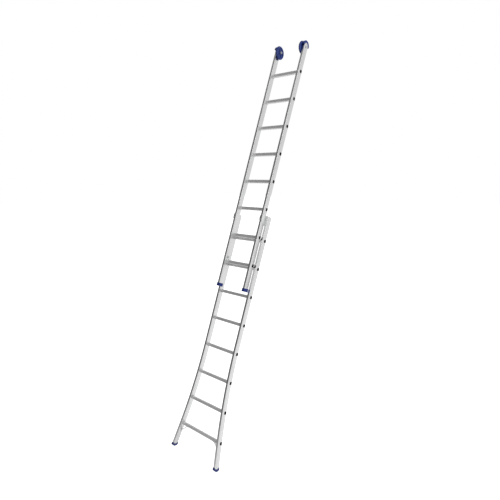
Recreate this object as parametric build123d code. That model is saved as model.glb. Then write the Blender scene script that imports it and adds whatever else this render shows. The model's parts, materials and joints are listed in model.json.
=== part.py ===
from build123d import *
import math
import os

# Two-section aluminium extension ladder, leaning on a wall with its upper section drawn out.
# Sections are drawn upright: X is the width, Y the depth (towards the wall) and Z runs along
# the stiles, up from the point where the ladder's middle plane meets the floor. Each piece is
# then leaned over by LEAN and set down on the floor. Millimetres.

# Ladder as a whole
LEAN = 21.86
PITCH = 280.0
RUNGS = 8
FIRST_RUNG = 250.0
SECTION_STEP = 18.0

# Stile extrusion
STILE_T = 22.0
STILE_D = 58.0
WALL = 1.6
EDGE_R = 1.5
GROOVES_Y = (-20.0, -15.0, -10.0)
GROOVE_W = 1.6
GROOVE_DEEP = 0.5

# Upper section
UPPER_HALF = 166.0
UPPER_Y = -59.5
UPPER_FOOT = 1695.0
UPPER_ARCH = 4166.0
AXLE_Z = 4150.0

# Lower section and its flared base
LOWER_HALF = 192.0
LOWER_TOP = 2450.0
FLARE_START = 1126.0
FLARE_R = 5730.0

# Rungs
RUNG_Y = 13.0
RUNG_D = 27.0
RUNG_H = 30.0
RUNG_R = 6.0
RUNG_WALL = 1.5
RIDGE = 0.8
PLUG_HEAD = 2.2
PLUG_LIFT = 0.05
TREAD_RIDGES = (-8, -4, 0, 4, 8)
FRONT_RIDGES = (-6, 0, 6)
BEAD_W = 3.0
BEAD_RISE = 1.5

# Small fittings
FIT_GAP = 0.3
FOOT_WALL = 4.0
FOOT_R = 46.0
FOOT_FLAT = 0.6
FOOT_BAND = 21.0
FOOT_SOLE = 9.0
FOOT_TREAD = 12.0
CAP_WALL = 3.0
CAP_SOLE = 6.0
CAP_H = 32.0
CAP_T = 17.0
CAP_LIP = 1.5
WHEEL_R = 62.5
WHEEL_W = 27.0
WHEEL_GAP = 3.5
AXLE_R = 6.0
BUSH_R = 9.0
PLATE_T = 3.0
LIP_LOW = 58.0
PLATE_LOW = 98.0
PLATE_SHOULDER = 14.0
PAD_GAP = 1.6
HOOK_T = 5.0
HOOK_PIVOT = (4.0, 44.0)
HOOK_BOLT_R = 5.0
HOOK_BOSS_R = 14.0
HOOK_GAP = 1.0
HOOK_NOSE = 12.0
GUIDE_RIVET_Y = -19.0
RIVET_R = 2.4
BRACE_RUN = 62.0
BRACE_DROP = 74.0
BRACE_TAB = 22.0
BRACE_W = 20.0
BRACE_T = 3.0

FLARE_ANGLE = math.asin((FLARE_START - FIRST_RUNG) / FLARE_R)
FOOT_CENTRE = (FOOT_R - FOOT_FLAT) / math.cos(math.radians(LEAN))
UPPER_RUNG_1 = FIRST_RUNG + 6 * PITCH + SECTION_STEP
SIDES = (("left", -1), ("right", 1))


def bar(x0, x1, y0, y1, z0, z1):
    """Rectangular block between two corners."""
    return Pos((x0 + x1) / 2, (y0 + y1) / 2, (z0 + z1) / 2) * Box(x1 - x0, y1 - y0, z1 - z0)


def rod(radius, x0, x1, y, z):
    """Round bar along X."""
    return Pos((x0 + x1) / 2, y, z) * Rot(0, 90, 0) * Cylinder(radius, abs(x1 - x0))


def hex_prism(across_flats, x0, x1, y, z):
    """Hexagonal bolt head or nut along X."""
    profile = Plane(origin=(x0, y, z), z_dir=(1, 0, 0)) * RegularPolygon(across_flats / math.sqrt(3), 6)
    return extrude(profile, x1 - x0)


def side_plate(outline, x0, x1):
    """Flat plate from an outline of (y, z) points or a closed wire, between two X planes."""
    face = Plane(origin=(x0, 0, 0), x_dir=(0, 1, 0), z_dir=(1, 0, 0)) * outline
    return extrude(face, x1 - x0)


def mirrored(part, side):
    """Right-hand pieces are drawn first, left-hand ones are their mirror image."""
    return part if side > 0 else mirror(part, about=Plane.YZ)


# ---- Rungs --------------------------------------------------------------------------------

def rung_bar(length, grow=0.0):
    """Solid bar with the rung's outline, centred on the origin, along X."""
    outline = RectangleRounded(RUNG_D + 2 * grow, RUNG_H + 2 * grow, RUNG_R + grow)
    return extrude(Plane.YZ * outline, length / 2, both=True)


def rung(half_gap, reach, angle):
    """Tube through both stiles, cut flush with their sloping outer faces, with anti-slip ridges."""
    tube = rung_bar(2 * reach + 20) - rung_bar(2 * reach + 22, -RUNG_WALL)
    rise = 30.0
    lean_in = rise * math.tan(math.radians(angle))
    ends = Polyline((-reach + lean_in, rise), (reach - lean_in, rise), (reach + lean_in, -rise),
                    (-reach - lean_in, -rise), close=True)
    tube &= extrude(Plane.XZ * make_face(ends), RUNG_D, both=True)
    tread = half_gap - 8
    for y in TREAD_RIDGES:
        tube += bar(-tread, tread, y - 0.9, y + 0.9, RUNG_H / 2 - 0.5, RUNG_H / 2 + RIDGE)
    for z in FRONT_RIDGES:
        tube += bar(-tread, tread, -RUNG_D / 2 - RIDGE, -RUNG_D / 2 + 0.5, z - 0.9, z + 0.9)
    for side in (-1, 1):
        bead = rung_bar(BEAD_W, BEAD_RISE) - rung_bar(2 * BEAD_W, -0.5)
        tube += Pos(side * (half_gap - BEAD_W), 0, 0) * bead
    return tube


def rung_plug(angle):
    """Black plastic plug at a rung's open end, pointing along +X, with its head tilted to the stile."""
    head = extrude(Plane.YZ * RectangleRounded(RUNG_D - 1, RUNG_H - 1, RUNG_R), PLUG_HEAD)
    head = fillet(head.faces().sort_by(Axis.X)[-1].edges(), 1.0)
    core = RUNG_WALL + FIT_GAP
    outline = RectangleRounded(RUNG_D - 2 * core, RUNG_H - 2 * core, RUNG_R - core)
    stem = Pos(-9, 0, 0) * extrude(Plane.YZ * outline, 13)
    stem -= bar(-10, -2, -9, 9, -10, 10)
    tilt = Rot(0, -angle, 0)
    return tilt * head + (stem - tilt * bar(1, 20, -30, 30, -30, 30))


def flare(z):
    """Sideways offset and slope angle (degrees) of a lower stile's middle line at height z."""
    if z >= FLARE_START:
        return 0.0, 0.0
    if z >= FIRST_RUNG:
        angle = math.asin((FLARE_START - z) / FLARE_R)
        return FLARE_R * (1 - math.cos(angle)), math.degrees(angle)
    bend = FLARE_R * (1 - math.cos(FLARE_ANGLE))
    return bend + (FIRST_RUNG - z) * math.tan(FLARE_ANGLE), math.degrees(FLARE_ANGLE)


# ---- Stiles -------------------------------------------------------------------------------

def flared_edge(offset, z_low, z_high):
    """Points of a line that follows the lower right stile at a sideways offset, top first."""
    radius = FLARE_R - offset
    middle_x = LOWER_HALF + FLARE_R
    start = (LOWER_HALF + offset, z_high)
    bend_top = (LOWER_HALF + offset, FLARE_START)
    half = FLARE_ANGLE / 2
    bend_mid = (middle_x - radius * math.cos(half), FLARE_START - radius * math.sin(half))
    bend_x = middle_x - radius * math.cos(FLARE_ANGLE)
    bend_low = (bend_x, FLARE_START - radius * math.sin(FLARE_ANGLE))
    run = (bend_low[1] - z_low)
    end = (bend_x + run * math.tan(FLARE_ANGLE), z_low)
    return start, bend_top, bend_mid, bend_low, end


def flared_strip(half_t, y0, y1, z_low, z_high):
    """Solid strip that follows the lower right stile, half_t to each side of its middle."""
    out = flared_edge(half_t, z_low, z_high)
    inn = flared_edge(-half_t, z_low, z_high)
    loop = [Line(out[0], out[1]), ThreePointArc(out[1], out[2], out[3]), Line(out[3], out[4])]
    loop += [Line(out[4], inn[4]), Line(inn[4], inn[3]), ThreePointArc(inn[3], inn[2], inn[1])]
    loop += [Line(inn[1], inn[0]), Line(inn[0], out[0])]
    face = Plane(origin=(0, y0, 0), x_dir=(1, 0, 0), z_dir=(0, -1, 0)) * make_face(Wire(loop))
    return extrude(face, -(y1 - y0))


def under_arc(radius, lift=0.0):
    """Everything below a round sole of this radius, about the axis that the feet rock on."""
    centre = FOOT_CENTRE + lift
    return bar(150, 450, -90, 90, centre - 150, centre) - rod(radius, 150, 450, 0, centre)


def lower_stile():
    """Right stile of the lower section: a hollow extrusion, curved outwards at the base."""
    half_d = STILE_D / 2
    low, high = -30, LOWER_TOP
    body = flared_strip(STILE_T / 2, -half_d, half_d, low, high)
    long_edges = [e for e in body.edges() if abs(e.center().Z - low) > 1 and abs(e.center().Z - high) > 1]
    body = fillet(long_edges, EDGE_R)
    body -= flared_strip(STILE_T / 2 - WALL, WALL - half_d, half_d - WALL, low - 5, high + 5)
    groove = flared_strip(STILE_T / 2 + 1, -GROOVE_W / 2, GROOVE_W / 2, low, high)
    groove -= flared_strip(STILE_T / 2 - GROOVE_DEEP, -GROOVE_W, GROOVE_W, low - 5, high + 5)
    for y in GROOVES_Y:
        body -= Pos(0, y, 0) * groove
    for number in range(RUNGS):
        body -= Pos(0, RUNG_Y, FIRST_RUNG + number * PITCH) * rung_bar(900)
    for z in guide_rivet_heights():
        body -= rod(RIVET_R, 150, 250, GUIDE_RIVET_Y, z)
    rounding = rod(20, 150, 250, half_d - 20, LOWER_TOP - 20)
    corner = bar(150, 250, half_d - 20, half_d + 1, LOWER_TOP - 20, LOWER_TOP + 1) - rounding
    return body - corner - under_arc(FOOT_R - FOOT_SOLE - 0.05)


def upper_stile():
    """Right stile of the upper section, rounded at its head, with the axle's hole."""
    x0, x1 = UPPER_HALF - STILE_T / 2, UPPER_HALF + STILE_T / 2
    half_d = STILE_D / 2
    y0, y1 = UPPER_Y - half_d, UPPER_Y + half_d
    body = bar(x0, x1, y0, y1, UPPER_FOOT, UPPER_ARCH + half_d)
    body = fillet(body.edges().filter_by(Axis.Z), EDGE_R)
    body -= bar(x0 + WALL, x1 - WALL, y0 + WALL, y1 - WALL, UPPER_FOOT - 1, UPPER_ARCH + half_d + 1)
    for y in GROOVES_Y:
        for x in (x0, x1):
            body -= bar(x - GROOVE_DEEP, x + GROOVE_DEEP, UPPER_Y + y - GROOVE_W / 2,
                        UPPER_Y + y + GROOVE_W / 2, UPPER_FOOT - 1, UPPER_ARCH + half_d + 1)
    head = bar(x0 - 1, x1 + 1, y0 - 1, y1 + 1, UPPER_ARCH, UPPER_ARCH + half_d + 1)
    body -= head - rod(half_d, x0 - 1, x1 + 1, UPPER_Y, UPPER_ARCH)
    body -= rod(AXLE_R, x0 - 1, x1 + 1, UPPER_Y, AXLE_Z)
    hook_y, hook_z = hook_pivot()
    body -= rod(HOOK_BOLT_R, x0 - 1, x1 + 1, hook_y, hook_z)
    for number in range(RUNGS):
        body -= Pos(0, UPPER_Y + RUNG_Y, UPPER_RUNG_1 + number * PITCH) * rung_bar(900)
    return body


# ---- Plastic ends -------------------------------------------------------------------------

def base_bar(half_t, half_d, low, high):
    """Straight bar along the splayed foot end of the lower right stile."""
    middle = LOWER_HALF + flare(0)[0]
    block = bar(-half_t, half_t, -half_d, half_d, low, high)
    return Pos(middle, 0, 0) * Rot(0, -math.degrees(FLARE_ANGLE), 0) * block


def foot():
    """Blue rocker foot on the lower right stile: its round, treaded sole touches the floor."""
    low, high = -60, FOOT_CENTRE + 5
    half_t, half_d = STILE_T / 2, STILE_D / 2
    outer = base_bar(half_t + FOOT_WALL, half_d + FOOT_WALL, low, high)
    upright = [e for e in outer.edges() if e.length > high]
    outer = fillet(upright, FOOT_WALL)
    above = rod(FOOT_R, 150, 450, 0, FOOT_CENTRE + FOOT_BAND) + bar(150, 450, -90, 90, FOOT_CENTRE, high + 20)
    outer = outer - under_arc(FOOT_R) - above
    floor = Rot(LEAN, 0, 0) * bar(150, 450, -90, 90, -50, 0)
    pocket = base_bar(half_t + 0.05, half_d + 0.05, low, high) - under_arc(FOOT_R - FOOT_SOLE)
    core = WALL + FIT_GAP
    spigot = base_bar(half_t - core, half_d - core, low, FOOT_CENTRE - 15) - under_arc(FOOT_R - FOOT_SOLE + 1)
    boot = outer - floor - pocket + spigot
    for number in range(-5, 2):
        turn = LEAN + (number + 0.5) * FOOT_TREAD
        slot = bar(150, 450, -1.2, 1.2, -FOOT_R - 1, -FOOT_R + 1.6)
        boot -= Pos(0, 0, FOOT_CENTRE) * Rot(turn, 0, 0) * slot
    return boot


def upper_foot_cap():
    """Blue cap on the bottom end of the upper right stile."""
    x0, x1 = UPPER_HALF - STILE_T / 2, UPPER_HALF + STILE_T / 2
    y0, y1 = UPPER_Y - STILE_D / 2, UPPER_Y + STILE_D / 2
    z0 = UPPER_FOOT - CAP_SOLE
    outer = bar(x0 - CAP_WALL, x1 + CAP_WALL, y0 - FOOT_WALL, y1 + 1.0, z0, z0 + CAP_H)
    outer = fillet(outer.edges().filter_by(Axis.Z), 0.9)
    outer = chamfer(outer.faces().sort_by(Axis.Z)[0].edges(), 0.8)
    fit = 0.05
    pocket = bar(x0 - fit, x1 + fit, y0 - fit, y1 + fit, UPPER_FOOT, UPPER_FOOT + CAP_H)
    core = WALL + FIT_GAP
    spigot = bar(x0 + core, x1 - core, y0 + core, y1 - core, UPPER_FOOT - 1, UPPER_FOOT + CAP_H / 2)
    return outer - pocket + spigot


def top_cap():
    """Blue arched strip over the rounded head of the upper right stile, with a spigot."""
    x0, x1 = UPPER_HALF - STILE_T / 2, UPPER_HALF + STILE_T / 2
    half_d = STILE_D / 2
    outer = half_d + CAP_T
    lower_half = bar(x0 - 1, x1 + 3, UPPER_Y - 80, UPPER_Y + 80, UPPER_ARCH - 80, UPPER_ARCH)
    arch = rod(outer, x0, x1 + CAP_LIP, UPPER_Y, UPPER_ARCH)
    arch -= rod(half_d + 0.05, x0 - 1, x1 + 3, UPPER_Y, UPPER_ARCH) + lower_half
    rims = arch.edges().filter_by(GeomType.CIRCLE).filter_by(lambda e: e.radius > half_d + 5)
    arch = fillet(rims, 3)
    lip = rod(half_d + 1, x1 + 0.05, x1 + CAP_LIP, UPPER_Y, UPPER_ARCH)
    lip -= rod(half_d - 3, x0, x1 + 3, UPPER_Y, UPPER_ARCH) + lower_half
    core = WALL + FIT_GAP
    plug = rod(half_d - core, x0 + core, x1 - core, UPPER_Y, UPPER_ARCH)
    plug -= bar(x0, x1, UPPER_Y - 80, UPPER_Y + 80, UPPER_ARCH - 80, UPPER_ARCH + 12)
    bridge = bar(x0 + core, x1 - core, UPPER_Y - 6, UPPER_Y + 6, UPPER_ARCH + 13, UPPER_ARCH + half_d + 2)
    return arch + lip + plug + bridge


# ---- Head wheels --------------------------------------------------------------------------

def wheel():
    """Right wall wheel: crowned tread, dished sides with five ribs, and a hub, along X."""
    half = WHEEL_W / 2
    shoulder = WHEEL_R - 10
    profile = [Line((BUSH_R, -half), (17, -half)), Line((17, -half), (19, -half + 7))]
    profile += [Line((19, -half + 7), (44, -half + 7)), Line((44, -half + 7), (46, -half + 1))]
    profile += [Line((46, -half + 1), (shoulder, -half + 1))]
    profile += [ThreePointArc((shoulder, -half + 1), (WHEEL_R, 0), (shoulder, half - 1))]
    profile += [Line((shoulder, half - 1), (46, half - 1)), Line((46, half - 1), (44, half - 7))]
    profile += [Line((44, half - 7), (19, half - 7)), Line((19, half - 7), (17, half))]
    profile += [Line((17, half), (BUSH_R, half)), Line((BUSH_R, half), (BUSH_R, -half))]
    body = revolve(make_face(Wire(profile)), Axis.Y)
    body = Rot(0, 0, 90) * body
    rib = bar(-half + 3, half - 3, -1.5, 1.5, 17, 45)
    for number in range(5):
        body += Rot(number * 72, 0, 0) * rib
    return Pos(wheel_x(), UPPER_Y, AXLE_Z) * body


def wheel_x():
    """Middle plane of the right wheel."""
    return UPPER_HALF - STILE_T / 2 - WHEEL_GAP - WHEEL_W / 2


def wheel_bush():
    """Plain bearing sleeve pressed into the wheel's hub."""
    half = WHEEL_W / 2
    x = wheel_x()
    sleeve = rod(BUSH_R, x - half, x + half, UPPER_Y, AXLE_Z)
    return sleeve - rod(AXLE_R + 0.05, x - half - 1, x + half + 1, UPPER_Y, AXLE_Z)


def wheel_axle():
    """Hexagon bolt through the stile's head that the wheel turns on."""
    x_out = UPPER_HALF + STILE_T / 2
    x_in = wheel_x() - WHEEL_W / 2 - 13
    bolt = rod(AXLE_R, x_in, x_out + 0.5, UPPER_Y, AXLE_Z)
    return bolt + hex_prism(18, x_out, x_out + 6.5, UPPER_Y, AXLE_Z)


def wheel_washer(x0, x1):
    """Plain washer on the axle."""
    return rod(12, x0, x1, UPPER_Y, AXLE_Z) - rod(AXLE_R, x0 - 1, x1 + 1, UPPER_Y, AXLE_Z)


def wheel_washers():
    """The washers on both sides of the right wheel."""
    inner = wheel_x() - WHEEL_W / 2 - FIT_GAP
    outer = wheel_x() + WHEEL_W / 2 + FIT_GAP
    return [wheel_washer(inner - 1.5, inner), wheel_washer(outer, UPPER_HALF - STILE_T / 2)]


def wheel_nut():
    """Lock nut on the inner end of the axle."""
    x1 = wheel_x() - WHEEL_W / 2 - FIT_GAP - 1.5
    nut = hex_prism(18, x1 - 9, x1, UPPER_Y, AXLE_Z)
    return nut - rod(AXLE_R, x1 - 10, x1 + 1, UPPER_Y, AXLE_Z)


# ---- Hooks --------------------------------------------------------------------------------

def hook_pivot():
    """Depth and height of the right hook's pivot bolt."""
    return UPPER_Y + HOOK_PIVOT[0], UPPER_RUNG_1 + HOOK_PIVOT[1]


def hook():
    """Right latch plate: hangs on its pivot and drops over a rung of the lower section."""
    x1 = UPPER_HALF - STILE_T / 2 - HOOK_GAP
    y, z = hook_pivot()
    rest = FIRST_RUNG + 6 * PITCH + RUNG_H / 2 + RIDGE + 1
    back = RUNG_Y + RUNG_D / 2 + 2.5
    front = UPPER_Y + RUNG_Y + RUNG_D / 2 + 6
    outline = Polyline((y - HOOK_BOSS_R + 1, z - 6), (front - 4, rest + 23), (front + 6, rest), (back, rest),
                       (back, rest - 25), (back + HOOK_NOSE, rest - 28), (back + HOOK_NOSE, rest + 13),
                       (back, rest + 24), (front + 22, rest + 29), (y + HOOK_BOSS_R - 1, z + 6), close=True)
    plate = side_plate(make_face(outline), x1 - HOOK_T, x1)
    plate += rod(HOOK_BOSS_R, x1 - HOOK_T, x1, y, z)
    return plate - rod(HOOK_BOLT_R + 0.05, x1 - HOOK_T - 1, x1 + 1, y, z)


def hook_bolt():
    """Shoulder bolt through the upper stile that the hook swings on, with its head."""
    y, z = hook_pivot()
    x_head = UPPER_HALF - STILE_T / 2 - HOOK_GAP - HOOK_T - FIT_GAP
    x_out = UPPER_HALF + STILE_T / 2
    bolt = rod(HOOK_BOLT_R, x_head, x_out + 1.2, y, z)
    head = fillet(rod(9, x_head - 4, x_head, y, z).faces().sort_by(Axis.X)[0].edges(), 2)
    spacer = rod(8, UPPER_HALF - STILE_T / 2 - HOOK_GAP + FIT_GAP, UPPER_HALF - STILE_T / 2, y, z)
    rivet_end = fillet(rod(8, x_out, x_out + 1.6, y, z).faces().sort_by(Axis.X)[-1].edges(), 1.2)
    return bolt + head + spacer + rivet_end


# ---- Guide brackets -----------------------------------------------------------------------

def lip_back():
    """Depth of the guide lip's inner face, just in front of the upper stile."""
    return UPPER_Y - STILE_D / 2 - PAD_GAP


def guide_bracket():
    """Right guide: a plate inside the lower stile whose lip wraps the upper stile's front."""
    x1 = LOWER_HALF - STILE_T / 2
    x0 = x1 - PLATE_T
    front = lip_back() - PLATE_T
    fixed_edge = -8
    lip_low, lip_top = LOWER_TOP - LIP_LOW, LOWER_TOP - PLATE_SHOULDER
    top, low = LOWER_TOP - 2, LOWER_TOP - PLATE_LOW
    outline = Polyline((front, lip_low), (UPPER_Y + STILE_D / 2, low), (fixed_edge, low),
                       (fixed_edge, top - 12), (4, top), (front + PLATE_SHOULDER, top), (front, lip_top),
                       close=True)
    plate = side_plate(make_face(outline), x0, x1)
    lip = bar(UPPER_HALF - STILE_T / 2 - 2.5, x1, front, lip_back(), lip_low, lip_top)
    lip = fillet(lip.edges().filter_by(Axis.Y).group_by(Axis.X)[0], 6)
    body = plate + lip
    for z in guide_rivet_heights():
        body -= rod(RIVET_R, x0 - 1, x1 + 1, GUIDE_RIVET_Y, z)
    return body


def guide_rivet_heights():
    """The rivets that hold a guide bracket, up the front part of the lower stile."""
    return LOWER_TOP - 24, LOWER_TOP - 53, LOWER_TOP - 82


def guide_pad():
    """Thin plastic slide pad clipped behind the lip, against the upper stile's front face."""
    top, low = LOWER_TOP - PLATE_SHOULDER - 6, LOWER_TOP - LIP_LOW + 6
    return bar(UPPER_HALF - 10, UPPER_HALF + 9, lip_back(), lip_back() + PAD_GAP - FIT_GAP, low, top)


def dome_head(radius):
    """Rivet head standing on the XY plane."""
    head = Pos(0, 0, 0.8) * Cylinder(radius, 1.6)
    return fillet(head.faces().sort_by(Axis.Z)[-1].edges(), 1.2)


def guide_rivets():
    """Blind rivets of the right guide bracket, headed on the stile's outer face."""
    x_in = LOWER_HALF - STILE_T / 2 - PLATE_T
    x_out = LOWER_HALF + STILE_T / 2
    rivets = []
    for z in guide_rivet_heights():
        shank = rod(RIVET_R, x_in, x_out + 0.5, GUIDE_RIVET_Y, z)
        outer = Pos(x_out, GUIDE_RIVET_Y, z) * Rot(0, 90, 0) * dome_head(RIVET_R * 2)
        rivets.append(shank + outer)
    return rivets


# ---- Bottom rung braces -------------------------------------------------------------------

def brace():
    """Right brace: a flat bar bent at both ends, from the bottom rung's underside to the stile."""
    slope = math.tan(FLARE_ANGLE)
    inner = LOWER_HALF + flare(FIRST_RUNG)[0] - STILE_T / 2 / math.cos(FLARE_ANGLE)
    face_x = inner - BRACE_T / 2 / math.cos(FLARE_ANGLE)
    z_rung = FIRST_RUNG - RUNG_H / 2 - BRACE_T / 2
    knee_x = face_x + BRACE_DROP * slope
    end_x = face_x + (BRACE_DROP + BRACE_TAB) * slope
    knee_z = FIRST_RUNG - BRACE_DROP
    path = Polyline((knee_x - BRACE_RUN - BRACE_TAB, z_rung), (knee_x - BRACE_RUN, z_rung),
                    (knee_x, knee_z), (end_x, knee_z - BRACE_TAB))
    strip = Plane.XZ * trace(path, BRACE_T)
    return Pos(0, RUNG_Y, 0) * extrude(strip, BRACE_W / 2, both=True)


def brace_rivets():
    """The two rivets of the right brace: one up into the rung, one sideways into the stile."""
    slope = math.tan(FLARE_ANGLE)
    inner = LOWER_HALF + flare(FIRST_RUNG)[0] - STILE_T / 2 / math.cos(FLARE_ANGLE)
    drop = BRACE_DROP + BRACE_TAB / 2
    bar_face = inner + drop * slope - BRACE_T / math.cos(FLARE_ANGLE)
    side = Pos(bar_face, RUNG_Y, FIRST_RUNG - drop) * Rot(0, -90 - math.degrees(FLARE_ANGLE), 0)
    rung_x = inner + BRACE_DROP * slope - BRACE_RUN - BRACE_TAB / 2
    below = Pos(rung_x, RUNG_Y, FIRST_RUNG - RUNG_H / 2 - BRACE_T) * Rot(180, 0, 0)
    return [place * dome_head(RIVET_R * 2) for place in (side, below)]


# ---- Assembly -----------------------------------------------------------------------------

def section_rungs(name, first_z, depth, half, curved):
    """Named rungs of one section, and one group with the plugs in all their ends."""
    pieces, plugs = {}, []
    for number in range(RUNGS):
        z = first_z + number * PITCH
        shift, angle = flare(z) if curved else (0.0, 0.0)
        half_t = STILE_T / 2 / math.cos(math.radians(angle))
        reach = half + shift + half_t
        inside = reach - 2 * half_t - RUNG_H / 2 * math.tan(math.radians(angle))
        pieces[f"{name}_rung_{number + 1}"] = Pos(0, depth, z) * rung(inside, reach, angle)
        for _, side in SIDES:
            plugs.append(mirrored(Pos(reach + PLUG_LIFT, depth, z) * rung_plug(angle), side))
    pieces[f"{name}_rung_plugs"] = Compound(children=plugs)
    return pieces


def paired(pieces, name, part):
    """Add a right-hand piece and its left-hand mirror image under one name."""
    for word, side in SIDES:
        pieces[f"{name}_{word}"] = mirrored(part, side)


def grouped(pieces, name, parts):
    """Add identical fasteners from both sides as one group of separate solids."""
    pieces[name] = Compound(children=[mirrored(part, side) for part in parts for _, side in SIDES])


def lower_section():
    """Every piece of the lower section."""
    pieces = section_rungs("lower", FIRST_RUNG, RUNG_Y, LOWER_HALF, True)
    paired(pieces, "lower_stile", lower_stile())
    paired(pieces, "foot", foot())
    paired(pieces, "brace", brace())
    paired(pieces, "guide_bracket", guide_bracket())
    paired(pieces, "guide_pad", guide_pad())
    grouped(pieces, "brace_rivets", brace_rivets())
    grouped(pieces, "guide_rivets", guide_rivets())
    return pieces


def upper_section():
    """Every piece of the upper section, with its head wheels and hooks."""
    pieces = section_rungs("upper", UPPER_RUNG_1, UPPER_Y + RUNG_Y, UPPER_HALF, False)
    paired(pieces, "upper_stile", upper_stile())
    paired(pieces, "upper_foot_cap", upper_foot_cap())
    paired(pieces, "top_cap", top_cap())
    paired(pieces, "wheel_axle", wheel_axle())
    paired(pieces, "wheel", wheel())
    paired(pieces, "wheel_bush", wheel_bush())
    paired(pieces, "hook_bolt", hook_bolt())
    paired(pieces, "hook", hook())
    grouped(pieces, "wheel_washers", wheel_washers())
    grouped(pieces, "wheel_nuts", [wheel_nut()])
    return pieces


def leaning(pieces):
    """Lean every piece on the wall, with the origin on the floor under the middle of its box."""
    turned = {name: Rot(-LEAN, 0, 0) * part for name, part in pieces.items()}
    boxes = [part.bounding_box() for part in turned.values()]
    middle = (min(box.min.Y for box in boxes) + max(box.max.Y for box in boxes)) / 2
    return {name: Pos(0, -middle, 0) * part for name, part in turned.items()}, middle


ladder, middle_y = leaning({**lower_section(), **upper_section()})
print("the upright drawing's origin is at Y", round(-middle_y, 3), "in the leaning ladder")

os.makedirs("parts", exist_ok=True)
for name, part in ladder.items():
    export_step(part, f"parts/{name}.step")
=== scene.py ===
import json
import math

import bmesh
import bpy
from mathutils import Matrix, Vector


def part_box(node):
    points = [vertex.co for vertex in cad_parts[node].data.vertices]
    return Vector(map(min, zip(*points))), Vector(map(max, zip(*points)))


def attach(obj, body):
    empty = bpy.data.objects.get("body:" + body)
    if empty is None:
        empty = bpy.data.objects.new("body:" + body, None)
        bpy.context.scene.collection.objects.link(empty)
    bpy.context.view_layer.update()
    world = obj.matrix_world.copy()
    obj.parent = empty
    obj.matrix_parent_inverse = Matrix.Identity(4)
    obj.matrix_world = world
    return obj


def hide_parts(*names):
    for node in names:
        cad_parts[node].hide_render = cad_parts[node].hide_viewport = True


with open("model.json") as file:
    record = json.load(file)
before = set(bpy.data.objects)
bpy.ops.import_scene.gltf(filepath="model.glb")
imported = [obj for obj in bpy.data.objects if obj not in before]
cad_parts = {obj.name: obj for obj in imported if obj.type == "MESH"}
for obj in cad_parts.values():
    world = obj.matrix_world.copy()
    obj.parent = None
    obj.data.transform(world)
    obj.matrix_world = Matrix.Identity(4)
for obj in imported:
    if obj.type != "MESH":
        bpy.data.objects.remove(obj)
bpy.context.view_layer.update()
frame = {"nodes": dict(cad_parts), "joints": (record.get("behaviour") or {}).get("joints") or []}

# ---- Stiles -------------------------------------------------------------------------------
# Four hollow aluminium extrusions, two wider ones curved outwards at the base and two
# straight ones sliding in front of them. They come from the mill drawn and unpolished,
# with fine lines along their length, a few dull handling marks and bright rubbed edges.

slide = next(joint for joint in frame["joints"] if joint["type"] == "slide")
ALONG = Vector(slide["axis"]).normalized()
ACROSS = Vector((1, 0, 0))
FRONT = ACROSS.cross(ALONG)
LEAN = math.atan2(ALONG.y, ALONG.z)
SIDES = (("left", -1), ("right", 1))
SECTIONS = ("lower", "upper")
STILE_NODES = [f"{part}_stile_{word}" for part in SECTIONS for word, _ in SIDES]


def shader_group(name, inputs, outputs):
    """Empty shader group with a Place input, float inputs (name, value) and float outputs."""
    group = bpy.data.node_groups.new(name, "ShaderNodeTree")
    sockets = group.interface
    sockets.new_socket(name="Place", in_out="INPUT", socket_type="NodeSocketVector").hide_value = True
    for label, value in inputs:
        socket = sockets.new_socket(name=label, in_out="INPUT", socket_type="NodeSocketFloat")
        socket.default_value = value
    for label in outputs:
        sockets.new_socket(name=label, in_out="OUTPUT", socket_type="NodeSocketFloat")
    return group, group.nodes.new("NodeGroupInput"), group.nodes.new("NodeGroupOutput")


def math_node(tree, operation, first, second, third=None):
    """Math node of two or three sockets or plain numbers."""
    node = tree.nodes.new("ShaderNodeMath")
    node.operation = operation
    for index, value in enumerate((first, second, third)):
        if value is None:
            continue
        if isinstance(value, (int, float)):
            node.inputs[index].default_value = value
        else:
            tree.links.new(value, node.inputs[index])
    return node.outputs[0]


def ranged(tree, value, low, high, to_low=0.0, to_high=1.0):
    """Map Range node from low..high onto to_low..to_high, clamped."""
    node = tree.nodes.new("ShaderNodeMapRange")
    for index, number in enumerate((low, high, to_low, to_high)):
        node.inputs[index + 1].default_value = number
    tree.links.new(value, node.inputs[0])
    return node.outputs[0]


def stretched_noise(tree, place, stretch, detail):
    """Noise at place, squeezed or stretched along each direction by stretch."""
    mapping = tree.nodes.new("ShaderNodeMapping")
    mapping.inputs["Scale"].default_value = stretch
    tree.links.new(place, mapping.inputs["Vector"])
    noise = tree.nodes.new("ShaderNodeTexNoise")
    noise.inputs["Scale"].default_value = 1.0
    noise.inputs["Detail"].default_value = detail
    tree.links.new(mapping.outputs["Vector"], noise.inputs["Vector"])
    return noise.outputs["Fac"]


# Lines left by the die, along the third direction of Place.
die_lines, asked, given = shader_group("die lines", (), ("Fine", "Broad"))
fine = stretched_noise(die_lines, asked.outputs["Place"], (1300, 1300, 5), 2)
broad = stretched_noise(die_lines, asked.outputs["Place"], (140, 140, 1.6), 3)
die_lines.links.new(fine, given.inputs["Fine"])
die_lines.links.new(broad, given.inputs["Broad"])

# Dull patches where hands, gloves and roof racks have rubbed the metal.
handling, asked, given = shader_group("handling marks", (("Size", 6.0), ("Amount", 0.5)),
                                      ("Patches", "Specks"))
patches = handling.nodes.new("ShaderNodeTexNoise")
patches.inputs["Detail"].default_value = 5.0
handling.links.new(asked.outputs["Place"], patches.inputs["Vector"])
handling.links.new(asked.outputs["Size"], patches.inputs["Scale"])
soft = ranged(handling, patches.outputs["Fac"], 0.42, 0.68)
handling.links.new(math_node(handling, "MULTIPLY", soft, asked.outputs["Amount"]), given.inputs["Patches"])
specks = stretched_noise(handling, asked.outputs["Place"], (420, 420, 420), 2)
handling.links.new(ranged(handling, specks, 0.64, 0.74), given.inputs["Specks"])

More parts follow.
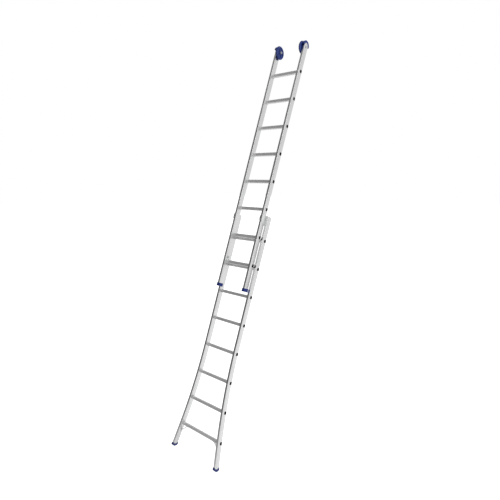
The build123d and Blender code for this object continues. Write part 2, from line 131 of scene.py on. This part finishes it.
# Bright, rubbed corners: where a rounded normal turns away from the true one.
edge_rub, asked, given = shader_group("rubbed edges", (("Width", 0.0012), ("Amount", 1.0)), ("Edge",))
rounded = edge_rub.nodes.new("ShaderNodeBevel")
rounded.samples = 4
edge_rub.links.new(asked.outputs["Width"], rounded.inputs["Radius"])
flat = edge_rub.nodes.new("ShaderNodeNewGeometry")
turned_away = edge_rub.nodes.new("ShaderNodeVectorMath")
turned_away.operation = "DOT_PRODUCT"
edge_rub.links.new(rounded.outputs["Normal"], turned_away.inputs[0])
edge_rub.links.new(flat.outputs["Normal"], turned_away.inputs[1])
near_edge = ranged(edge_rub, turned_away.outputs["Value"], 0.99, 0.86)
broken = ranged(edge_rub, stretched_noise(edge_rub, asked.outputs["Place"], (90, 90, 90), 3), 0.35, 0.6)
worn = math_node(edge_rub, "MULTIPLY", near_edge, broken)
edge_rub.links.new(math_node(edge_rub, "MULTIPLY", worn, asked.outputs["Amount"]), given.inputs["Edge"])


class Finish:
    """One material: its tree, its Principled shader and the place that its patterns follow."""

    def __init__(self, name, turn=(0.0, 0.0, 0.0)):
        self.material = bpy.data.materials.new(name)
        self.material.use_nodes = True
        self.tree = self.material.node_tree
        self.shader = self.tree.nodes["Principled BSDF"]
        coordinates = self.tree.nodes.new("ShaderNodeTexCoord")
        mapping = self.tree.nodes.new("ShaderNodeMapping")
        mapping.inputs["Rotation"].default_value = turn
        self.tree.links.new(coordinates.outputs["Object"], mapping.inputs["Vector"])
        self.place = mapping.outputs["Vector"]

    def effect(self, group, **values):
        """Outputs of a shader group that follows place, with its inputs set to values."""
        node = self.tree.nodes.new("ShaderNodeGroup")
        node.node_tree = group
        self.tree.links.new(self.place, node.inputs["Place"])
        for label, value in values.items():
            node.inputs[label].default_value = value
        return node.outputs

    def mix(self, factor, first, second):
        """Colour between first and second, each a colour or a socket."""
        node = self.tree.nodes.new("ShaderNodeMix")
        node.data_type = "RGBA"
        self.tree.links.new(factor, node.inputs["Factor"])
        for socket, value in ((node.inputs[6], first), (node.inputs[7], second)):
            if isinstance(value, tuple):
                socket.default_value = (*value, 1.0)
            else:
                self.tree.links.new(value, socket)
        return node.outputs[2]

    def feed(self, label, socket):
        """Link a socket to one of the shader's inputs."""
        self.tree.links.new(socket, self.shader.inputs[label])

    def relief(self, height, distance, strength):
        """Normal of a surface raised by height times distance."""
        bump = self.tree.nodes.new("ShaderNodeBump")
        bump.inputs["Distance"].default_value = distance
        bump.inputs["Strength"].default_value = strength
        self.tree.links.new(height, bump.inputs["Height"])
        return bump.outputs["Normal"]


def dress(nodes, finish):
    """Give CAD nodes a finish in every one of their material slots."""
    for name in nodes:
        piece = frame["nodes"][name]
        if not piece.material_slots:
            piece.data.materials.append(finish.material)
        for slot in piece.material_slots:
            slot.material = finish.material


def drawn_aluminium(name, turn, dark, light, smooth, rough):
    """Mill-finish extrusion whose die lines run along the turned third direction."""
    finish = Finish(name, turn)
    lines = finish.effect(die_lines)
    marks = finish.effect(handling, Size=5.0, Amount=0.6)
    edge = finish.effect(edge_rub, Width=0.0012, Amount=0.8)
    grey = finish.mix(lines["Broad"], dark, light)
    stained = finish.mix(marks["Patches"], grey, tuple(0.86 * level for level in light))
    bright = finish.mix(edge["Edge"], stained, (0.93, 0.935, 0.94))
    finish.feed("Base Color", bright)
    base = ranged(finish.tree, lines["Broad"], 0.3, 0.7, smooth, rough)
    duller = math_node(finish.tree, "MULTIPLY_ADD", marks["Patches"], 0.12, base)
    specked = math_node(finish.tree, "MULTIPLY_ADD", marks["Specks"], 0.1, duller)
    finish.feed("Roughness", specked)
    finish.feed("Normal", finish.relief(lines["Fine"], 0.00006, 0.5))
    finish.shader.inputs["Metallic"].default_value = 1.0
    return finish


stile_finish = drawn_aluminium("drawn stile aluminium", (LEAN, 0, 0), (0.74, 0.742, 0.745),
                               (0.85, 0.85, 0.85), 0.13, 0.24)
dress(STILE_NODES, stile_finish)

# ---- Rungs --------------------------------------------------------------------------------
# Sixteen square aluminium tubes pushed through both stiles and swaged against them, ridged
# on the tread and the front against slipping. Their lines run across the ladder, and the
# treads are duller than the stiles from shoes.

rung_finish = drawn_aluminium("drawn rung aluminium", (0, math.pi / 2, 0), (0.74, 0.742, 0.745),
                              (0.86, 0.86, 0.86), 0.36, 0.5)
rung_finish.shader.inputs["Metallic"].default_value = 0.6
RUNG_COUNT = 8
RUNG_NODES = [f"{part}_rung_{number + 1}" for part in SECTIONS for number in range(RUNG_COUNT)]
dress(RUNG_NODES, rung_finish)

# ---- Rung plugs ---------------------------------------------------------------------------
# Black moulded plugs close the open rung ends outside the stiles. Each head has a low round
# rim with a moulding point in its middle, left by the mould.

plastic_grain, asked, given = shader_group("moulded grain", (("Scale", 2200.0),), ("Grain", "Flow"))
grain = plastic_grain.nodes.new("ShaderNodeTexNoise")
grain.inputs["Detail"].default_value = 2.0
plastic_grain.links.new(asked.outputs["Place"], grain.inputs["Vector"])
plastic_grain.links.new(asked.outputs["Scale"], grain.inputs["Scale"])
plastic_grain.links.new(grain.outputs["Fac"], given.inputs["Grain"])
flow = stretched_noise(plastic_grain, asked.outputs["Place"], (24, 24, 9), 4)
plastic_grain.links.new(flow, given.inputs["Flow"])

# Pale dust that settles on faces turned upwards.
dust, asked, given = shader_group("settled dust", (("Amount", 0.4),), ("Dust",))
facing = dust.nodes.new("ShaderNodeNewGeometry")
split = dust.nodes.new("ShaderNodeSeparateXYZ")
dust.links.new(facing.outputs["Normal"], split.inputs["Vector"])
upward = ranged(dust, split.outputs["Z"], 0.2, 0.95)
uneven = ranged(dust, stretched_noise(dust, asked.outputs["Place"], (60, 60, 60), 4), 0.3, 0.75)
settled = math_node(dust, "MULTIPLY", upward, uneven)
dust.links.new(math_node(dust, "MULTIPLY", settled, asked.outputs["Amount"]), given.inputs["Dust"])


def moulded_plastic(name, deep, pale, dusty, rough, grain_depth, dust_amount):
    """Moulded plastic with flow marks, fine grain, rubbed edges and some dust."""
    finish = Finish(name, (LEAN, 0, 0))
    texture = finish.effect(plastic_grain, Scale=2200.0)
    marks = finish.effect(handling, Size=22.0, Amount=0.6)
    edge = finish.effect(edge_rub, Width=0.0008, Amount=0.5)
    settled_on = finish.effect(dust, Amount=dust_amount)
    body = finish.mix(texture["Flow"], deep, pale)
    rubbed = finish.mix(edge["Edge"], body, tuple(0.5 * (a + b) for a, b in zip(pale, dusty)))
    finish.feed("Base Color", finish.mix(settled_on["Dust"], rubbed, dusty))
    base = ranged(finish.tree, texture["Flow"], 0.3, 0.7, rough - 0.05, rough + 0.05)
    scuffed = math_node(finish.tree, "MULTIPLY_ADD", marks["Patches"], 0.18, base)
    finish.feed("Roughness", math_node(finish.tree, "MULTIPLY_ADD", settled_on["Dust"], 0.3, scuffed))
    finish.feed("Normal", finish.relief(texture["Grain"], grain_depth, 0.6))
    return finish


black_plastic = moulded_plastic("black moulded plastic", (0.001, 0.001, 0.0011), (0.002, 0.002, 0.0022),
                                (0.02, 0.02, 0.019), 0.55, 0.00005, 0.15)
black_plastic.shader.inputs["Specular IOR Level"].default_value = 0.12
dress(["lower_rung_plugs", "upper_rung_plugs"], black_plastic)


def solids_of(node):
    """The separate solids of a node, each a list of (middle, normal, area) of its faces."""
    mesh = bmesh.new()
    mesh.from_mesh(frame["nodes"][node].data)
    bmesh.ops.remove_doubles(mesh, verts=mesh.verts, dist=2e-6)
    mesh.faces.ensure_lookup_table()
    seen, solids = set(), []
    for start in mesh.faces:
        if start.index in seen:
            continue
        seen.add(start.index)
        queue, faces = [start], []
        while queue:
            face = queue.pop()
            faces.append((face.calc_center_median(), face.normal.copy(), face.calc_area()))
            for edge in face.edges:
                for other in edge.link_faces:
                    if other.index not in seen:
                        seen.add(other.index)
                        queue.append(other)
        solids.append(faces)
    mesh.free()
    return solids


def flat_face(solid, toward):
    """Middle and normal of a solid's largest flat face that looks toward a direction."""
    groups = {}
    for middle, normal, area in solid:
        if normal.dot(toward) > 0.9:
            key = (*(round(part, 2) for part in normal), round(middle.dot(normal), 4))
            groups.setdefault(key, []).append((middle, normal, area))
    best = max(groups.values(), key=lambda faces: sum(area for _, _, area in faces))
    total = sum(area for _, _, area in best)
    middle = sum((place * area for place, _, area in best), Vector()) / total
    normal = sum((way * area for _, way, area in best), Vector()).normalized()
    return middle, normal


def standing(middle, normal, up):
    """Matrix with its third direction along normal and its second as near to up as it can be."""
    side = up.cross(normal).normalized()
    rise = normal.cross(side)
    turn = Matrix((side, rise, normal)).transposed().to_4x4()
    return Matrix.Translation(middle) @ turn


def lathe(mesh, outline, place, steps=48):
    """Turn an outline of (radius, height) round the third direction of place."""
    rings = []
    for radius, height in outline:
        if radius < 1e-9:
            rings.append([mesh.verts.new(place @ Vector((0, 0, height)))])
            continue
        ring = []
        for step in range(steps):
            angle = math.tau * step / steps
            point = Vector((radius * math.cos(angle), radius * math.sin(angle), height))
            ring.append(mesh.verts.new(place @ point))
        rings.append(ring)
    for low, high in zip(rings, rings[1:]):
        for step in range(steps):
            after = (step + 1) % steps
            corners = [low[step % len(low)], low[after % len(low)]]
            corners += [high[after % len(high)], high[step % len(high)]]
            corners = list(dict.fromkeys(corners))
            if len(corners) > 2:
                mesh.faces.new(corners)


def finished_piece(name, mesh, finish, body, smooth=40):
    """Object from a mesh, shaded smooth up to an angle, with its finish, body and slot."""
    bmesh.ops.recalc_face_normals(mesh, faces=mesh.faces)
    data = bpy.data.meshes.new(name)
    mesh.to_mesh(data)
    mesh.free()
    data.shade_smooth()
    data.set_sharp_from_angle(angle=math.radians(smooth))
    piece = bpy.data.objects.new(name, data)
    bpy.context.scene.collection.objects.link(piece)
    data.materials.append(finish.material)
    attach(piece, body)
    return piece


PLUG_RIM = [(0.0070, -0.0002), (0.0070, 0.0003), (0.0074, 0.0006), (0.0082, 0.0006), (0.0086, 0.0003),
            (0.0086, -0.0002)]
PLUG_POINT = [(0.0014, -0.0002), (0.0013, 0.0003), (0.0006, 0.0005), (0, 0.0005)]
for section in SECTIONS:
    rims = bmesh.new()
    for plug in solids_of(f"{section}_rung_plugs"):
        outward = ACROSS if plug[0][0].x > 0 else -ACROSS
        head = standing(*flat_face(plug, outward), ALONG)
        lathe(rims, PLUG_RIM, head, 32)
        lathe(rims, PLUG_POINT, head, 16)
    finished_piece(f"{section}_plug_rims", rims, black_plastic, section)

# ---- Feet ---------------------------------------------------------------------------------
# Blue rubbery boots pushed over the splayed ends of the lower stiles, with round treaded
# soles that let the ladder rock to its angle. Three low moulded ridges on the front and on
# the outer side help fingers to grip a boot when it is changed.

foot_rubber = moulded_plastic("blue foot rubber", (0.006, 0.018, 0.13), (0.010, 0.03, 0.19),
                              (0.16, 0.20, 0.32), 0.5, 0.00012, 0.35)
dress([f"foot_{word}" for word, _ in SIDES], foot_rubber)


RIDGE_STEPS = 6
RIDGE_SHOULDER = 0.94
RIDGE_TIP = 0.35
RIDGE_SUNK = 0.0002


def ridge(mesh, place, length, width, proud):
    """Low half-round ridge across place, sunk a little into the face that it stands on."""
    rows = []
    for end in (-1, -RIDGE_SHOULDER, RIDGE_SHOULDER, 1):
        shrink = RIDGE_TIP if abs(end) == 1 else 1.0
        row = []
        for step in range(RIDGE_STEPS + 1):
            angle = math.pi * step / RIDGE_STEPS
            rise = proud * shrink * math.sin(angle) - RIDGE_SUNK
            aside = shrink * width / 2 * math.cos(angle)
            row.append(mesh.verts.new(place @ Vector((end * length / 2, aside, rise))))
        rows.append(row)
    for near, far in zip(rows, rows[1:]):
        for step in range(RIDGE_STEPS):
            mesh.faces.new((near[step], near[step + 1], far[step + 1], far[step]))
    mesh.faces.new(rows[0])
    mesh.faces.new(list(reversed(rows[-1])))


FOOT_RIDGE_PITCH = 0.0045
FOOT_RIDGE_WIDTH = 0.0022
FOOT_RIDGE_PROUD = 0.0007
FOOT_SIDE_RIDGE = 0.046
FOOT_FRONT_RIDGE = 0.018
for word, side in SIDES:
    ridges = bmesh.new()
    boot = solids_of(f"foot_{word}")[0]
    for toward, length in ((ACROSS * side, FOOT_SIDE_RIDGE), (FRONT, FOOT_FRONT_RIDGE)):
        middle, normal = flat_face(boot, toward)
        for number in (-1, 0, 1):
            place = standing(middle + ALONG * number * FOOT_RIDGE_PITCH, normal, ALONG)
            ridge(ridges, place, length, FOOT_RIDGE_WIDTH, FOOT_RIDGE_PROUD)
    finished_piece(f"foot_ridges_{word}", ridges, foot_rubber, "lower")

# ---- Upper end caps -----------------------------------------------------------------------
# Glossier blue caps: one slipped on the bottom of each upper stile, and an arched strip over
# each rounded stile head. Each bottom cap has three thin ridges on its outer side.

cap_plastic = moulded_plastic("blue cap plastic", (0.006, 0.02, 0.14), (0.012, 0.038, 0.22),
                              (0.16, 0.20, 0.34), 0.32, 0.00004, 0.15)
cap_plastic.shader.inputs["Specular IOR Level"].default_value = 0.2
dress([f"{part}_{word}" for part in ("upper_foot_cap", "top_cap") for word, _ in SIDES], cap_plastic)
CAP_RIDGE_PITCH = 0.007
CAP_RIDGE_LENGTH = 0.044
CAP_RIDGE_WIDTH = 0.0016
CAP_RIDGE_PROUD = 0.0006
for word, side in SIDES:
    ridges = bmesh.new()
    middle, normal = flat_face(solids_of(f"upper_foot_cap_{word}")[0], ACROSS * side)
    for number in (-1, 0, 1):
        place = standing(middle + ALONG * number * CAP_RIDGE_PITCH, normal, ALONG)
        ridge(ridges, place, CAP_RIDGE_LENGTH, CAP_RIDGE_WIDTH, CAP_RIDGE_PROUD)
    finished_piece(f"upper_cap_ridges_{word}", ridges, cap_plastic, "upper")

# ---- Wall wheels --------------------------------------------------------------------------
# Two blue moulded wheels inside the stile heads roll up the wall as the ladder is raised. Each
# has a crowned tread with shallow grooves, a dished web with ribs on both sides, and a hub
# turning on a pale nylon bush.

wheel_plastic = moulded_plastic("blue wheel plastic", (0.006, 0.02, 0.14), (0.012, 0.038, 0.22),
                                (0.16, 0.20, 0.34), 0.32, 0.00004, 0.1)
wheel_plastic.shader.inputs["Specular IOR Level"].default_value = 0.35
WHEEL_HALF = 0.0135
WHEEL_R = 0.0625
BORE_R = 0.009
WEB_HALF = 0.0065
CROWN_DROP = 0.010
TREAD_GROOVES = (-0.006, -0.002)
TREAD_STEP = 0.0016
GROOVE_EDGE = 0.0006
GROOVE_FLOOR = 0.0003
GROOVE_DEPTH = 0.0006
RIBS = 5


def crown(height):
    """Radius of the crowned tread at a sideways place on it."""
    return WHEEL_R - CROWN_DROP * (height / (WHEEL_HALF - 0.001)) ** 2


def wheel_outline():
    """Section of the wheel: up one side, over the grooved tread and down the other side."""
    up = [(BORE_R, -WHEEL_HALF + 0.0004), (BORE_R + 0.0004, -WHEEL_HALF), (0.0164, -WHEEL_HALF),
          (0.0170, -WHEEL_HALF + 0.0006), (0.0186, -WEB_HALF - 0.0012), (0.0198, -WEB_HALF),
          (0.0428, -WEB_HALF), (0.0440, -WEB_HALF - 0.0012), (0.0457, -WHEEL_HALF + 0.0018),
          (0.0466, -WHEEL_HALF + 0.001), (0.0515, -WHEEL_HALF + 0.001)]
    tread = []
    height = -WHEEL_HALF + TREAD_STEP
    while height < TREAD_GROOVES[0] - 0.0014:
        tread.append((crown(height), height))
        height += TREAD_STEP
    for groove in TREAD_GROOVES:
        low, high = groove - GROOVE_EDGE, groove + GROOVE_EDGE
        bottom = crown(groove) - GROOVE_DEPTH
        tread += [(crown(low), low), (bottom, groove - GROOVE_FLOOR),
                  (bottom, groove + GROOVE_FLOOR), (crown(high), high)]
    tread.append((WHEEL_R - 0.00005, 0.0))
    half = up + tread
    return half + [(radius, -height) for radius, height in reversed(half[:-1])]


RIB_ROOT = 0.0064
RIB_TOP = 0.0106


def wheel_rib(mesh, place, face):
    """Tapered rib on one side of the web, from hub to rim."""
    base, top = RIB_ROOT * face, RIB_TOP * face
    corners = []
    for radius, height, half in ((0.0175, base, 0.0019), (0.0452, base, 0.0019), (0.0448, top, 0.0012),
                                 (0.0178, top, 0.0012)):
        corners.append([mesh.verts.new(place @ Vector((radius, way * half, height))) for way in (-1, 1)])
    for near, far in zip(corners, corners[1:] + corners[:1]):
        mesh.faces.new((near[0], near[1], far[1], far[0]))
    mesh.faces.new([pair[0] for pair in corners])
    mesh.faces.new([pair[1] for pair in reversed(corners)])


def middle_of(node):
    """Middle of a CAD node's box."""
    low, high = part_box(node)
    return (Vector(low) + Vector(high)) / 2


BOSS_R = 0.0315
BOSS = [(0.0032, 0.006), (0.0031, 0.0072), (0.0027, 0.0076), (0.0022, 0.0072), (0, 0.007)]
for word, _ in SIDES:
    moulding = bmesh.new()
    hub = Matrix.Translation(middle_of(f"wheel_{word}")) @ Matrix.Rotation(math.pi / 2, 4, "Y")
    outline = wheel_outline()
    lathe(moulding, outline + outline[:1], hub, 120)
    for number in range(RIBS):
        spoke = hub @ Matrix.Rotation(math.tau * number / RIBS, 4, "Z")
        boss = spoke @ Matrix.Rotation(math.pi / RIBS, 4, "Z") @ Matrix.Translation((BOSS_R, 0, 0))
        for face in (-1, 1):
            wheel_rib(moulding, spoke, face)
            flip = boss if face > 0 else boss @ Matrix.Rotation(math.pi, 4, "X")
            lathe(moulding, BOSS, flip, 20)
    wheel = finished_piece(f"wall_wheel_{word}", moulding, wheel_plastic, f"wheel_{word}",
                           35)
    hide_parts(f"wheel_{word}")

nylon = moulded_plastic("nylon bush", (0.62, 0.61, 0.57), (0.72, 0.71, 0.67), (0.6, 0.58, 0.52),
                        0.4, 0.00003, 0.1)
dress([f"wheel_bush_{word}" for word, _ in SIDES], nylon)

# ---- Axles, washers and lock nuts ---------------------------------------------------------
# Zinc plated hexagon bolts through the stile heads, with a washer each side of the wheel and
# a lock nut inside. The nut's nylon ring shows at its inner end round the bolt.


def plated_steel(name, dark, light):
    """Zinc plated steel with a faint uneven sheen and rubbed edges."""
    finish = Finish(name)
    marks = finish.effect(handling, Size=60.0, Amount=0.8)
    edge = finish.effect(edge_rub, Width=0.0006, Amount=1.0)
    plating = finish.mix(marks["Patches"], dark, light)
    finish.feed("Base Color", finish.mix(edge["Edge"], plating, (0.86, 0.86, 0.85)))
    sheen = ranged(finish.tree, marks["Patches"], 0.0, 0.8, 0.26, 0.42)
    finish.feed("Roughness", math_node(finish.tree, "MULTIPLY_ADD", marks["Specks"], 0.15, sheen))
    finish.feed("Normal", finish.relief(marks["Specks"], 0.00003, 0.4))
    finish.shader.inputs["Metallic"].default_value = 1.0
    return finish


zinc = plated_steel("zinc plated steel", (0.50, 0.51, 0.53), (0.68, 0.69, 0.70))
dress([f"{part}_{word}" for part in ("wheel_axle", "hook_bolt") for word, _ in SIDES], zinc)
dress(["wheel_washers", "wheel_nuts"], zinc)
LOCK_RING = [(0.0061, 0.0001), (0.0063, 0.0013), (0.0069, 0.0016), (0.0074, 0.0012), (0.0075, -0.0004)]
for nut in solids_of("wheel_nuts"):
    word, inward = ("right", -ACROSS) if nut[0][0].x > 0 else ("left", ACROSS)
    ring = bmesh.new()
    lathe(ring, LOCK_RING, standing(*flat_face(nut, inward), ALONG), 40)
    finished_piece(f"lock_ring_{word}", ring, nylon, "upper")

# ---- Hooks --------------------------------------------------------------------------------
# Flat aluminium latch plates swing on shoulder bolts inside the upper stiles and drop over a
# rung of the lower section. A wire spring round each bolt head keeps the plate down.

SPRING_R = 0.0103
SPRING_TURNS = 3
SPRING_PITCH = 0.001
SPRING_WIRE_R = 0.0005
SPRING_LEG = 0.022
SPRING_GAP = 0.0006
POINTS_A_TURN = 12
for word, side in SIDES:
    low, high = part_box(f"hook_bolt_{word}")
    inner_end = low[0] if side > 0 else high[0]
    pivot = middle_of(f"hook_bolt_{word}")
    coil = bpy.data.curves.new(f"hook_spring_{word}", "CURVE")
    coil.dimensions = "3D"
    coil.bevel_depth = SPRING_WIRE_R
    coil.bevel_resolution = 3
    coil.resolution_u = 6
    coil.use_fill_caps = True
    start = ACROSS * (inner_end + side * SPRING_GAP)
    advance = ACROSS * side * SPRING_PITCH / POINTS_A_TURN
    points = [start + FRONT * SPRING_R - ALONG * SPRING_LEG * 0.4]
    for step in range(SPRING_TURNS * POINTS_A_TURN + 1):
        angle = math.tau * step / POINTS_A_TURN
        spoke = FRONT * math.cos(angle) + ALONG * math.sin(angle)
        points.append(start + advance * step + spoke * SPRING_R)
    points.append(points[-1] + ALONG * SPRING_LEG)
    line = coil.splines.new("NURBS")
    line.points.add(len(points) - 1)
    for point, place in zip(line.points, points):
        point.co = (place.x, place.y + pivot.y, place.z + pivot.z, 1.0)
    line.order_u = 3
    line.use_endpoint_u = True
    spring = bpy.data.objects.new(f"hook_spring_{word}", coil)
    bpy.context.scene.collection.objects.link(spring)
    coil.materials.append(zinc.material)
    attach(spring, "upper")

# ---- Guide brackets -----------------------------------------------------------------------
# Bright pressed aluminium plates riveted inside the tops of the lower stiles. Their lips wrap
# round the front of the upper stiles, with a black slide pad behind held by two rivets.

pressed_sheet = drawn_aluminium("pressed bracket sheet", (0, 0, 0), (0.80, 0.805, 0.81),
                                (0.90, 0.905, 0.91), 0.16, 0.28)
dress([f"{part}_{word}" for part in ("guide_bracket", "hook") for word, _ in SIDES], pressed_sheet)
dress([f"guide_pad_{word}" for word, _ in SIDES], black_plastic)
rivet_metal = drawn_aluminium("rivet aluminium", (0, 0, 0), (0.68, 0.685, 0.69), (0.80, 0.805, 0.81),
                              0.24, 0.36)
dress(["guide_rivets", "brace_rivets"], rivet_metal)
PAD_HEAD = [(0.0040, -0.0003), (0.0040, 0.0004), (0.0034, 0.0011), (0.0022, 0.0016), (0.0012, 0.0017),
            (0.0010, 0.0010), (0, 0.0010)]
PAD_RIVET_RISE = 0.014
for word, _ in SIDES:
    heads = bmesh.new()
    middle, normal = flat_face(solids_of(f"guide_bracket_{word}")[0], FRONT)
    for rise in (-PAD_RIVET_RISE, PAD_RIVET_RISE):
        lathe(heads, PAD_HEAD, standing(middle + ALONG * rise, normal, ALONG), 32)
    finished_piece(f"pad_rivet_heads_{word}", heads, rivet_metal, "lower")

# ---- Rivet mandrels -----------------------------------------------------------------------
# The broken-off pulling pins of the blind rivets in the guide brackets and the braces, each
# in a small rolled rim in the middle of its head.

MANDREL = [(0.0022, -0.0002), (0.0021, 0.0003), (0.0017, 0.0004), (0.0013, 0.0001), (0.0010, 0.0001),
           (0.0008, 0.0005), (0, 0.0004)]
mandrels = bmesh.new()
for rivet in solids_of("guide_rivets"):
    outward = ACROSS if rivet[0][0].x > 0 else -ACROSS
    lathe(mandrels, MANDREL, standing(*flat_face(rivet, outward), ALONG), 20)
RUNG_OR_STILE = 0.24
for rivet in solids_of("brace_rivets"):
    inward = -ACROSS if rivet[0][0].x > 0 else ACROSS
    in_stile = min(abs(middle.x) for middle, _, _ in rivet) > RUNG_OR_STILE
    lathe(mandrels, MANDREL, standing(*flat_face(rivet, inward if in_stile else -ALONG), FRONT), 20)
finished_piece("rivet_mandrels", mandrels, zinc, "lower")

# ---- Bottom braces ------------------------------------------------------------------------
# Flat aluminium bars bent at both ends, riveted under the bottom rung and to the flared
# stiles, which keep the base from spreading.

brace_finish = drawn_aluminium("brace aluminium", (0, math.pi / 4, 0), (0.72, 0.725, 0.73),
                               (0.84, 0.845, 0.85), 0.24, 0.36)
dress([f"brace_{word}" for word, _ in SIDES], brace_finish)

# ---- Studio -------------------------------------------------------------------------------
# A plain white floor under a white surround. A big soft light stands to the right. The floor glows as
# painted light:
# it glows fully white to the camera, and for light falling on the ladder it glows at half strength round
# the ladder and behind on the right, fading to nothing further in front on the left. The surround is also
# darker in front on the left.
# This gives the front faces depth.

floor_mesh = bmesh.new()
bmesh.ops.create_grid(floor_mesh, x_segments=1, y_segments=1, size=40)
floor_data = bpy.data.meshes.new("studio_floor")
floor_mesh.to_mesh(floor_data)
floor_mesh.free()
floor = bpy.data.objects.new("studio_floor", floor_data)
bpy.context.scene.collection.objects.link(floor)
floor_paint = bpy.data.materials.new("white studio floor")
floor_paint.use_nodes = True
paint = floor_paint.node_tree
floor_shader = paint.nodes["Principled BSDF"]
floor_shader.inputs["Base Color"].default_value = (0.55, 0.55, 0.55, 1)
floor_shader.inputs["Roughness"].default_value = 0.9
floor_shader.inputs["Emission Color"].default_value = (1, 1, 1, 1)
# Painted light: the floor's emission depends on where it lies, at half strength near the ladder and behind
# on the right, fading to none further in front on the left, and full strength to the camera.
spot = paint.nodes.new("ShaderNodeNewGeometry")
to_lit_side = paint.nodes.new("ShaderNodeVectorMath")
to_lit_side.operation = "DOT_PRODUCT"
to_lit_side.inputs[1].default_value = (0.6, 0.76, 0.0)
paint.links.new(spot.outputs["Position"], to_lit_side.inputs[0])
lit = ranged(paint, to_lit_side.outputs["Value"], -2.0, -0.4, 0.0, 0.5)
seen_floor = paint.nodes.new("ShaderNodeLightPath").outputs["Is Camera Ray"]
paint.links.new(math_node(paint, "MAXIMUM", seen_floor, lit), floor_shader.inputs["Emission Strength"])
floor_data.materials.append(floor_paint)

surround = bpy.data.worlds.new("white surround")
bpy.context.scene.world = surround
surround.use_nodes = True
sky = surround.node_tree
backdrop = sky.nodes["Background"]
DARK_SIDE = Vector((-0.60, -0.76, 0.10)).normalized()
direction = sky.nodes.new("ShaderNodeTexCoord")
toward_dark = sky.nodes.new("ShaderNodeVectorMath")
toward_dark.operation = "DOT_PRODUCT"
toward_dark.inputs[1].default_value = DARK_SIDE
sky.links.new(direction.outputs["Generated"], toward_dark.inputs[0])
shade = ranged(sky, toward_dark.outputs["Value"], 0.15, 0.85, 0.78, 0.15)
seen_sky = sky.nodes.new("ShaderNodeLightPath").outputs["Is Camera Ray"]
sky.links.new(math_node(sky, "MAXIMUM", seen_sky, shade), backdrop.inputs["Strength"])
backdrop.inputs["Color"].default_value = (1, 1, 1, 1)


def softbox(name, width, height, power, place, target):
    """Rectangular soft light at place, turned to target."""
    lamp = bpy.data.lights.new(name, "AREA")
    lamp.shape = "RECTANGLE"
    lamp.size, lamp.size_y, lamp.energy = width, height, power
    stand = bpy.data.objects.new(name, lamp)
    bpy.context.scene.collection.objects.link(stand)
    stand.location = place
    stand.rotation_euler = (Vector(target) - Vector(place)).to_track_quat("-Z", "Y").to_euler()


softbox("right softbox", 3.0, 4.5, 95, (4.5, 0.3, 4.2), (0, 0, 2))

camera_data = bpy.data.cameras.new("studio camera")
camera_data.lens = 29.55
camera_data.sensor_width = 36
camera_data.shift_y = 0.0665
camera = bpy.data.objects.new("studio camera", camera_data)
bpy.context.scene.collection.objects.link(camera)
between_wheels = (middle_of("wheel_left") + middle_of("wheel_right")) / 2
camera.location = between_wheels + Vector((2.629, -3.767, -1.201))
camera.rotation_euler = (math.radians(90 - 14.84), 0, math.radians(40.04))
bpy.context.scene.camera = camera
bpy.context.scene.view_settings.view_transform = "Standard"
